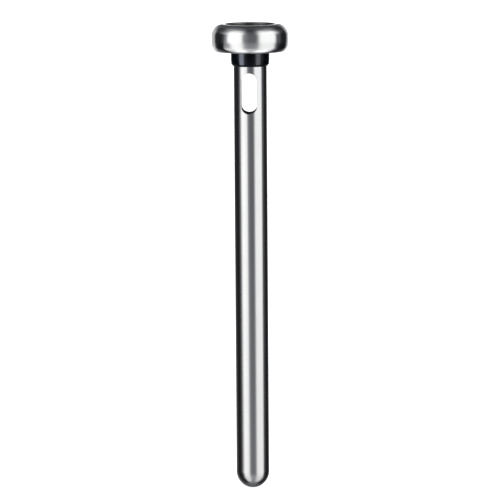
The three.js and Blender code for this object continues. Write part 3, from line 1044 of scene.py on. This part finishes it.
strip("collar_key", [collar], -54, -4.5, 28, 60, 19.5, -4, colour=(0.86, 0.96, 1.14))
strip("collar_fill", [collar], 50, -4.5, 28, 60, 9.6, -4, colour=(0.92, 0.985, 1.09))
strip("head_rear_left", [shell], -147, -2.0, 44, 60, 0.62, 6, soft=0.35)
strip("head_rear_right", [shell], 157, -2.0, 40, 60, 0.56, 6, soft=0.35)
strip("head_low_left", [shell], -76, -30.0, 34, 56, 1.0, 6, soft=0.4)
strip("head_low_front", [shell], 2, -41.0, 104, 68, 0.28, 6, soft=0.34)
strip("head_low_right", [shell], 66, -40.0, 44, 60, 0.22, 6, soft=0.4)
strip("head_under_left", [shell], -58, -64.0, 56, 40, 0.75, 6, soft=0.35)
strip("head_under_right", [shell], 60, -64.0, 56, 40, 0.75, 6, soft=0.35)
strip("head_under", [shell], 0, -84.0, 84, 76, 0.08, 6, soft=0.35)

# The studio's softboxes, grey cards and black flags, as the steel mirrors them:
# (azimuth from the camera's side in degrees, radiance) at the horizon.
MID = [
    (-180, 1.35), (-173, 1.0), (-165, 0.44), (-158, 0.15), (-150, 0.06), (-140, 0.035), (-128, 0.03), (-116, 0.03),
    (-105, 0.02), (-100, 0.024), (-96, 0.042), (-92, 0.055), (-88.5, 0.07), (-86.5, 0.12), (-83.7, 0.25),
    (-80, 0.36), (-76, 0.50), (-74, 0.80), (-71.5, 1.30), (-68, 1.65), (-60, 1.85), (-50, 1.85), (-40, 1.68), (-32, 1.6),
    (-28, 1.56), (-24.5, 1.14), (-21.5, 0.62), (-18.5, 0.40), (-15, 0.34), (-12, 0.28), (-8, 0.23), (-4, 0.19), (0, 0.175),
    (4, 0.17), (9, 0.172), (14, 0.18), (17.5, 0.20), (20.5, 0.28), (23.5, 0.50), (26.5, 0.86), (29.5, 1.22), (32.5, 1.46),
    (36, 1.58), (45, 1.58), (60, 1.58), (72, 1.58), (78, 1.5), (81, 1.38), (83.5, 1.0), (86, 0.42), (88.5, 0.26),
    (92, 0.15), (96, 0.10), (101, 0.15), (105.5, 0.07), (110, 0.028), (118, 0.022), (129, 0.022), (140, 0.03),
    (150, 0.055), (158, 0.13), (165, 0.34), (173, 0.9), (180, 1.35),
]
LEAN = [
    (-180, 1.15), (-168, 0.8), (-150, 0.38), (-138, 0.2), (-125, 0.06), (-112, 0.012), (-90, 0.008), (-78, 0.03), (-72, 0.10),
    (-68, 0.30), (-65, 0.70), (-62, 1.05), (-58, 1.40), (-52, 1.58), (-44, 1.58), (-34, 1.5), (-28, 1.36), (-22, 0.98), (-17, 0.54),
    (-11, 0.36), (-4, 0.30), (2, 0.29), (10, 0.31), (17, 0.34), (22, 0.46), (27, 0.78), (32, 1.14), (38, 1.32), (50, 1.4),
    (62, 1.4), (72, 1.36), (77, 1.16), (80, 0.84), (83, 0.42), (87, 0.16), (92, 0.06), (100, 0.02), (115, 0.008), (130, 0.012),
    (142, 0.10), (152, 0.30), (168, 0.8), (180, 1.15),
]
LOW = [
    (-180, 0.34), (-160, 0.34), (-140, 0.24), (-125, 0.12), (-110, 0.02), (-98, 0.012), (-88, 0.02), (-80, 0.07), (-74, 0.2),
    (-68, 0.52), (-62, 0.98), (-56, 1.28), (-48, 1.38), (-38, 1.36), (-29, 1.26), (-20, 0.92), (-10, 0.60), (0, 0.48),
    (10, 0.49), (20, 0.57), (30, 0.86), (40, 1.12), (50, 1.22), (62, 1.24), (72, 1.1), (80, 0.82), (88, 0.4), (95, 0.15),
    (103, 0.05), (112, 0.025), (128, 0.04), (142, 0.14), (158, 0.26), (180, 0.34),
]
NADIR = 0.42
TOP = [
    (-180, 0.07), (-170, 0.08), (-160, 0.13), (-145, 0.19), (-130, 0.26), (-115, 0.33), (-102, 0.46), (-90, 0.70), (-80, 0.92),
    (-70, 1.06), (-60, 1.14), (-48, 1.12), (-38, 0.92), (-30, 0.66), (-22, 0.32), (-12, 0.13), (0, 0.095), (12, 0.10),
    (22, 0.20), (30, 0.42), (38, 0.84), (48, 1.06), (60, 1.04), (70, 0.92), (80, 0.78), (90, 0.62), (102, 0.46), (115, 0.32),
    (130, 0.25), (145, 0.17), (160, 0.12), (170, 0.08), (180, 0.07),
]
ZENITH = [
    (-180, 0.07), (-165, 0.08), (-150, 0.14), (-130, 0.23), (-100, 0.30), (-75, 0.36), (-60, 0.36), (-40, 0.22), (-25, 0.10),
    (-10, 0.055), (5, 0.05), (22, 0.06), (40, 0.14), (60, 0.26), (80, 0.26), (100, 0.22), (130, 0.18), (150, 0.13), (165, 0.10), (180, 0.07),
]
UPPER = [
    (-180, 0.09), (-160, 0.11), (-140, 0.06), (-120, 0.07), (-110, 0.14), (-100, 0.28), (-90, 0.50), (-84, 0.84), (-78, 1.26),
    (-70, 1.66), (-60, 1.72), (-45, 1.7), (-33, 1.62), (-27, 1.2), (-20, 0.56), (-14, 0.30), (-8, 0.19), (0, 0.14), (10, 0.145),
    (16, 0.18), (21, 0.32), (26, 0.68), (31, 1.2), (38, 1.58), (46, 1.66), (60, 1.66), (74, 1.66), (84, 1.58), (90, 1.38), (95, 1.0),
    (101, 0.58), (110, 0.24), (120, 0.09), (135, 0.04), (150, 0.04), (165, 0.07), (180, 0.09),
]


def curve_of(t, value, points, top):
    """A function of azimuth as a curve node: value runs from 0 to 1 over the whole turn."""
    n = t.new("ShaderNodeFloatCurve")
    curve = n.mapping.curves[0]
    pts = [((az + 180) / 360, min(v / top, 1.0)) for az, v in points]
    while len(curve.points) < len(pts):
        curve.points.new(0.5, 0.5)
    for p, (x, y) in zip(curve.points, pts):
        p.location = (x, y)
        p.handle_type = "VECTOR"
    n.mapping.use_clip = False
    n.mapping.update()
    t.put(n.inputs["Value"], value)
    return t.math("MULTIPLY", n.outputs[0], top)


def studio_world():
    t = Nodes("studio", world=True)
    direction = t.new("ShaderNodeTexCoord").outputs["Generated"]
    sep = t.new("ShaderNodeSeparateXYZ")
    t.link(direction, sep.inputs[0])
    x, y, z = sep.outputs
    ca, sa = math.cos(math.radians(CAM_AZ)), math.sin(math.radians(CAM_AZ))
    across = t.math("ADD", t.math("MULTIPLY", x, ca), t.math("MULTIPLY", y, sa))
    toward = t.math("SUBTRACT", t.math("MULTIPLY", x, sa), t.math("MULTIPLY", y, ca))
    az = t.math("ARCTAN2", across, toward)
    turn = t.math("ADD", t.math("DIVIDE", az, 2 * math.pi), 0.5)
    el = t.math("MULTIPLY", t.math("ARCSINE", t.math("MAXIMUM", t.math("MINIMUM", z, 1.0), -1.0)), 180 / math.pi)
    mid = curve_of(t, turn, MID, 2.4)
    lean = curve_of(t, turn, LEAN, 2.4)
    low = curve_of(t, turn, LOW, 2.4)
    high = curve_of(t, turn, TOP, 2.4)
    zenith = curve_of(t, turn, ZENITH, 2.4)
    upper = curve_of(t, turn, UPPER, 2.4)
    lerp = lambda f, a, b: t.math("ADD", t.math("MULTIPLY", a, t.math("SUBTRACT", 1.0, f)), t.math("MULTIPLY", b, f))
    behind = t.ramp(t.math("ABSOLUTE", az), math.radians(108.0), math.radians(130.0))
    # The light behind the object reaches only a little above the horizon.
    mid = lerp(t.math("MULTIPLY", behind, t.ramp(el, 7.0, 33.0)), mid, 0.06)
    straight = t.ramp(t.math("ABSOLUTE", az), math.radians(160.0), math.radians(173.0))
    mid = lerp(t.math("MULTIPLY", straight, t.ramp(el, 4.3, 7.5)), mid, 0.10)
    low = lerp(t.ramp(el, -86.0, -56.0, 1.0, 0.0), low, NADIR)
    value = lerp(t.ramp(el, -9.4, -5.4, 1.0, 0.0), mid, lean)
    value = lerp(t.ramp(el, -42.0, -12.0, 1.0, 0.0), value, low)
    value = lerp(t.ramp(el, 9.0, 31.0), value, upper)
    value = lerp(t.ramp(el, 37.0, 56.0), value, high)
    value = lerp(t.ramp(el, 55.0, 72.0), value, zenith)
    value = lerp(t.ramp(el, 70.0, 86.0), value, 0.085)
    # the cards that stand between the softboxes are a cold grey
    colour = t.mix_colour(t.ramp(value, 0.12, 0.9), (0.955, 0.98, 1.055, 1.0), (1.0, 1.0, 1.0, 1.0))
    scaled = t.new("ShaderNodeVectorMath", operation="SCALE")
    t.link(colour, scaled.inputs[0])
    t.link(value, scaled.inputs["Scale"])
    studio = t.new("ShaderNodeBackground")
    t.link(scaled.outputs[0], studio.inputs["Color"])
    studio.inputs["Strength"].default_value = 1.0
    plain = t.new("ShaderNodeBackground")
    plain.inputs["Color"].default_value = (1, 1, 1, 1)
    plain.inputs["Strength"].default_value = 1.15
    path = t.new("ShaderNodeLightPath")
    mix = t.new("ShaderNodeMixShader")
    t.link(path.outputs["Is Camera Ray"], mix.inputs[0])
    t.link(studio.outputs[0], mix.inputs[1])
    t.link(plain.outputs[0], mix.inputs[2])
    out = t.new("ShaderNodeOutputWorld")
    t.link(mix.outputs[0], out.inputs["Surface"])
    return t.mat


bpy.context.scene.world = studio_world()
bpy.context.scene.view_settings.view_transform = "Standard"
bpy.context.scene.view_settings.look = "None"
bpy.context.scene.view_settings.exposure = 0.0
bpy.context.scene.view_settings.gamma = 1.0
